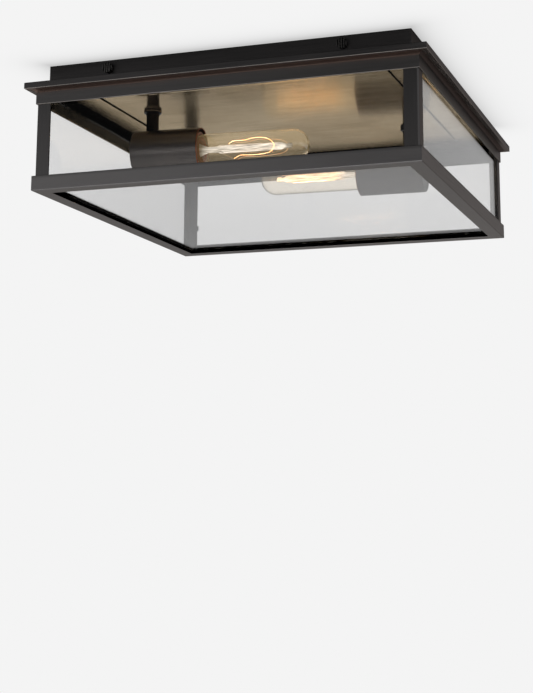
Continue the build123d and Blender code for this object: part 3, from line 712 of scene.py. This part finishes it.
# The panes: clear 3 mm float glass, set behind the strips. Their upper rims are puttied to the band behind
# them, and so they mirror less there.
pane_glass, tree, shader, place = new_finish(
    "clear_float_glass", Transmission_Weight=1.0, Roughness=0.0, Base_Color=linear("#fcfcfc"))
level = add(tree, "ShaderNodeSeparateXYZ", {"Vector": place}).outputs["Z"]
puttied = add(tree, "ShaderNodeMath", {0: level, 1: band_low}, operation="GREATER_THAN")
bending = add(tree, "ShaderNodeMapRange", {"Value": puttied, "To Min": 1.42, "To Max": 1.14})
feed(shader, IOR=bending)
let_lamps_through(tree, shader, "#fafafa")
dress(pane_glass, "pane_front", "pane_right", "pane_back", "pane_left")


# The floor glass: one sheet of the same float glass, drawn black within 7 mm of its edge, over the rail's
# flange.
# It mirrors less than the panes do, so that the bulbs over it show through it.
floor_glass, tree, shader, place = new_finish(
    "clear_floor_glass", Transmission_Weight=1.0, IOR=1.22, Roughness=0.0)
bead_low, bead_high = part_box("glass_bead")
black_width = 7 * mm
black_from = bead_high.x - black_width
spread = add(tree, "ShaderNodeVectorMath", {0: place}, operation="ABSOLUTE")
apart = add(tree, "ShaderNodeSeparateXYZ", {"Vector": spread}).outputs
outmost = add(tree, "ShaderNodeMath", {0: apart["X"], 1: apart["Y"]}, operation="MAXIMUM")
blackened = add(tree, "ShaderNodeMath", {0: outmost, 1: black_from}, operation="GREATER_THAN")
colour = add(tree, "ShaderNodeMixRGB", {
    "Fac": blackened, "Color1": linear("#ffffff"), "Color2": linear("#000000"),
})
feed(shader, Base_Color=colour)
let_lamps_through(tree, shader, "#fafafa")
dress(floor_glass, "bottom_glass")


# The bead under the floor glass: silicone run round the flange by hand. It looks black against the coated
# flange, with a pale uneven line painted along its foot at the back: a painted highlight where it faces the
# light.
silicone, tree, shader, place = new_finish("squeezed_silicone", Specular_IOR_Level=0.0, Roughness=0.6)
spot = add(tree, "ShaderNodeSeparateXYZ", {"Vector": place}).outputs
lumps = add(tree, "ShaderNodeTexNoise", {"Vector": place, "Scale": 1 / (9 * mm), "Detail": 4.0})
crest_low = -0.25 * mm
crest_high = 0.35 * mm
crest = add(tree, "ShaderNodeMapRange", {
    "Value": lumps, "From Min": 0.35, "From Max": 0.65, "To Min": crest_low, "To Max": crest_high,
})
height = add(tree, "ShaderNodeMath", {0: spot["Z"], 1: bead_low.z}, operation="SUBTRACT")
# A pale uneven line at the bead's foot, at the back only: a painted highlight.
pale_line = add(tree, "ShaderNodeMath", {0: height, 1: crest}, operation="LESS_THAN")
back = add(tree, "ShaderNodeMath", {0: spot["Y"], 1: 0.0}, operation="GREATER_THAN")
painted_highlight_line = add(tree, "ShaderNodeMath", {0: pale_line, 1: back}, operation="MULTIPLY")
colour = add(tree, "ShaderNodeMixRGB", {
    "Fac": painted_highlight_line, "Color1": linear("#020202"), "Color2": linear("#f4f2ea"),
})
feed(shader, Base_Color=colour)
dress(silicone, "glass_bead")


# The clips that keep the panes in two opposite corners: short pieces of spring steel strip, oil blacked,
# and sprung in behind the panes.
clip_black, tree, shader, place = new_finish("blacked_spring_steel", Metallic=0.4, Roughness=0.45)
rub = add(tree, "ShaderNodeTexNoise", {"Vector": place, "Scale": 1 / (2 * mm), "Detail": 4.0})
colour = add(tree, "ShaderNodeValToRGB", {"Fac": rub}, [(0.4, "#0e0e0e"), (0.8, "#2e2b29")])
feed(shader, Base_Color=colour)
dress(clip_black, "pane_clips")


# The thumb screws: turned steel with a knurled head, in the cage's bronze, with pale bands painted across
# the head as painted glints on the knurl. They go through the skirt into clinch nuts, and their tips hold
# the cage on the pan.
knurled, tree, shader, place = new_finish("knurled_bronze", Metallic=1.0, Roughness=0.25)
# The knurl's real ridge spacing is about 0.8 mm; the painted glints are drawn 2 mm apart so that they show.
# At a scale of 1 the node's own bands are 2 pi / 20 apart.
glint_spacing = 2 * mm
painted_glints = add(tree, "ShaderNodeTexWave", {
    "Vector": place, "Scale": 2 * pi / 20 / glint_spacing, "Distortion": 2.0,
    "Detail": 2.0, "Detail Scale": 1.5,
}).outputs["Fac"]
colour = add(tree, "ShaderNodeValToRGB", {"Fac": painted_glints}, [(0.4, "#181818"), (0.9, "#787674")])
feed(shader, Base_Color=colour)
for side in ("front", "back"):
    dress(knurled, f"thumb_screw_{side}_left", f"thumb_screw_{side}_right")


# The room: a pale ceiling over the light, a pale floor far below it, and a pale world beyond.
# The ceiling is seen only from below, and is darker close to the light, where little lamp light reaches.
pale = "#f4f4f4"


def flat_sheet(name, half, gap, level, material):
    """A large flat square with a gap in its middle.
    It faces down where the half widths are negative."""
    mesh = bpy.data.meshes.new(name)
    corners = []
    for size in (half, gap):
        corners += [(-size, -abs(size), level), (size, -abs(size), level)]
        corners += [(size, abs(size), level), (-size, abs(size), level)]
    mesh.from_pydata(corners, [], [(0, 1, 5, 4), (1, 2, 6, 5), (2, 3, 7, 6), (3, 0, 4, 7)])
    mesh.materials.append(material)
    sheet = bpy.data.objects.new(name, mesh)
    bpy.context.scene.collection.objects.link(sheet)
    return sheet


# Painted plaster: seen straight on it is pale, with a soft dark halo round the canopy. In metal it looks
# darker close to the canopy and towards the right, as the shaded ceiling of a porch does.
plaster, tree, shader, place = new_finish("pale_ceiling_plaster", Roughness=1.0)
skirt_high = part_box("canopy_skirt")[1]
halo_reach = 12 * mm
shade_reach = 150 * mm
slant = radians(14)
slant_start = -80 * mm
slant_end = 220 * mm
spread = add(tree, "ShaderNodeVectorMath", {0: place}, operation="ABSOLUTE")
beyond = add(tree, "ShaderNodeVectorMath", {0: spread, 1: (skirt_high.x, skirt_high.y, 1)},
             operation="SUBTRACT")
outside = add(tree, "ShaderNodeVectorMath", {0: beyond}, operation="MAXIMUM")
distance = add(tree, "ShaderNodeVectorMath", {0: outside}, operation="LENGTH").outputs["Value"]
fading = add(tree, "ShaderNodeMath", {0: distance, 1: -1 / halo_reach}, operation="MULTIPLY")
dark = add(tree, "ShaderNodeMath", {0: fading}, operation="EXPONENT")
halo = add(tree, "ShaderNodeMath", {0: dark, 1: -0.36, 2: 1.0}, operation="MULTIPLY_ADD")
fading = add(tree, "ShaderNodeMath", {0: distance, 1: -1 / shade_reach}, operation="MULTIPLY")
dark = add(tree, "ShaderNodeMath", {0: fading}, operation="EXPONENT")
shade = add(tree, "ShaderNodeMath", {0: dark, 1: -0.8, 2: 0.8}, operation="MULTIPLY_ADD")
askew = add(tree, "ShaderNodeMapping", {"Vector": place, "Rotation": (0, 0, slant)})
aslant = add(tree, "ShaderNodeSeparateXYZ", {"Vector": askew}).outputs["X"]
falling = add(tree, "ShaderNodeMapRange", {
    "Value": aslant, "From Min": slant_start, "From Max": slant_end, "To Min": 1.0, "To Max": 0.22,
})
mirrored = add(tree, "ShaderNodeMath", {0: shade, 1: falling}, operation="MULTIPLY")
# Clear glass mirrors a dim ceiling in front and at the left, and a bright one at the right.
rays = add(tree, "ShaderNodeLightPath").outputs
bright_start = 150 * mm
bright_full = 200 * mm
sideways = add(tree, "ShaderNodeSeparateXYZ", {"Vector": place}).outputs["X"]
bright_side = add(tree, "ShaderNodeMapRange", {
    "Value": sideways, "From Min": bright_start, "From Max": bright_full, "To Min": 0.06, "To Max": 1.0,
})
in_glass = add(tree, "ShaderNodeMath", {0: bright_side, 1: 0.7}, operation="MULTIPLY")
mirrored = add(tree, "ShaderNodeMath", {0: mirrored, 1: bright_side}, operation="MAXIMUM")
mirrored = add(tree, "ShaderNodeMixRGB", {
    "Fac": rays["Is Singular Ray"], "Color1": mirrored, "Color2": in_glass,
})
seen = add(tree, "ShaderNodeMath", {0: rays["Glossy Depth"], 1: 0.5}, operation="LESS_THAN")
level = add(tree, "ShaderNodeMixRGB", {"Fac": seen, "Color1": mirrored, "Color2": halo})
glow_back = add(tree, "ShaderNodeEmission", {"Color": linear(pale), "Strength": level})
through = add(tree, "ShaderNodeBsdfTransparent")
facing = add(tree, "ShaderNodeNewGeometry").outputs["Backfacing"]
mixed = add(tree, "ShaderNodeMixShader", {0: facing, 1: glow_back, 2: through})
feed(tree.nodes["Material Output"], Surface=mixed)
ceiling_half = 4.0
ceiling_level = 0.6 * mm
pan_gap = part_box("ceiling_pan")[1].x - 2 * mm
ceiling = flat_sheet("ceiling_sheet", -ceiling_half, -pan_gap, ceiling_level, plaster)
ceiling.visible_shadow = False
ceiling.visible_diffuse = False

# Limed boards far below: pale and matt, faintly mottled, and lifted to the paper white of the background.
boards, tree, shader, place = new_finish("pale_floor", Roughness=0.7)
mottling = 0.4
mottle = add(tree, "ShaderNodeTexNoise", {"Vector": place, "Scale": 1 / mottling, "Detail": 3.0})
colour = add(tree, "ShaderNodeValToRGB", {"Fac": mottle}, [(0.3, "#f0f0f0"), (0.7, pale)])
feed(shader, Base_Color=colour, Emission_Color=colour)
rays = add(tree, "ShaderNodeLightPath").outputs
lifted = add(tree, "ShaderNodeMath", {0: rays["Is Camera Ray"], 1: 0.45}, operation="MULTIPLY")
feed(shader, Emission_Strength=lifted)
floor_half = 12.0
floor_gap = 1 * mm
floor_level = -2.2
flat_sheet("floor_sheet", floor_half, floor_gap, floor_level, boards)

world = bpy.data.worlds.new("pale_room")
world.use_nodes = True
tree = world.node_tree
lit = tree.nodes["Background"]
lit.inputs["Color"].default_value = linear("#ffffff")
lit.inputs["Strength"].default_value = 0.5
seen = add(tree, "ShaderNodeBackground", {"Color": linear(pale), "Strength": 1.0})
rays = add(tree, "ShaderNodeLightPath").outputs
direct = add(tree, "ShaderNodeMath", {0: rays["Is Camera Ray"], 1: rays["Is Glossy Ray"]},
             operation="MAXIMUM")
shown = add(tree, "ShaderNodeMath", {0: direct, 1: rays["Is Transmission Ray"]}, operation="MAXIMUM")
mixed = add(tree, "ShaderNodeMixShader", {0: shown, 1: lit, 2: seen})
feed(tree.nodes["World Output"], Surface=mixed)
bpy.context.scene.world = world


# The studio lamps: a wide soft box low in front, and a smaller one at the left. They are white cloth over
# a frame, and give a plain even light.
lantern_middle = Vector((0, 0, -60 * mm))


def soft_box(name, spot, width, height, watts):
    """A soft box at its spot, turned to the lantern, and not seen through its glass."""
    data = bpy.data.lights.new(name, "AREA")
    data.shape = "RECTANGLE"
    data.size = width
    data.size_y = height
    data.energy = watts
    lamp = bpy.data.objects.new(name, data)
    bpy.context.scene.collection.objects.link(lamp)
    lamp.location = spot
    lamp.rotation_euler = (lantern_middle - Vector(spot)).to_track_quat("-Z", "Y").to_euler()
    lamp.visible_transmission = False


soft_box("front_box", (-0.4, -1.7, -0.85), width=1.7, height=1.1, watts=13.0)
soft_box("left_box", (-1.9, -1.0, -0.5), width=1.0, height=1.0, watts=6.0)


# The camera, matched to the photo's edges: low in front and to the right, looking up a little. Its shift
# puts the lantern high in the frame, as the photo has it.
camera_spot = Vector((0.41722, -1.22, -0.37069))
yaw = -0.3424
pitch = 0.2065
roll = 0.0048
image_height = 693
focal_pixels = 1478.06
axis_row = 206.97
forward = Vector((sin(yaw) * cos(pitch), cos(yaw) * cos(pitch), sin(pitch)))
right = Vector((cos(yaw), -sin(yaw), 0))
up = right.cross(forward)
level_right = right * cos(roll) + up * sin(roll)
level_up = up * cos(roll) - right * sin(roll)
camera_data = bpy.data.cameras.new("camera")
camera = bpy.data.objects.new("camera", camera_data)
bpy.context.scene.collection.objects.link(camera)
camera.matrix_world = Matrix((level_right, level_up, -forward)).transposed().to_4x4()
camera.location = camera_spot
camera_data.lens = camera_data.sensor_width * focal_pixels / image_height
camera_data.shift_y = (axis_row - image_height / 2) / image_height
bpy.context.scene.camera = camera
bpy.context.scene.view_settings.view_transform = "Standard"
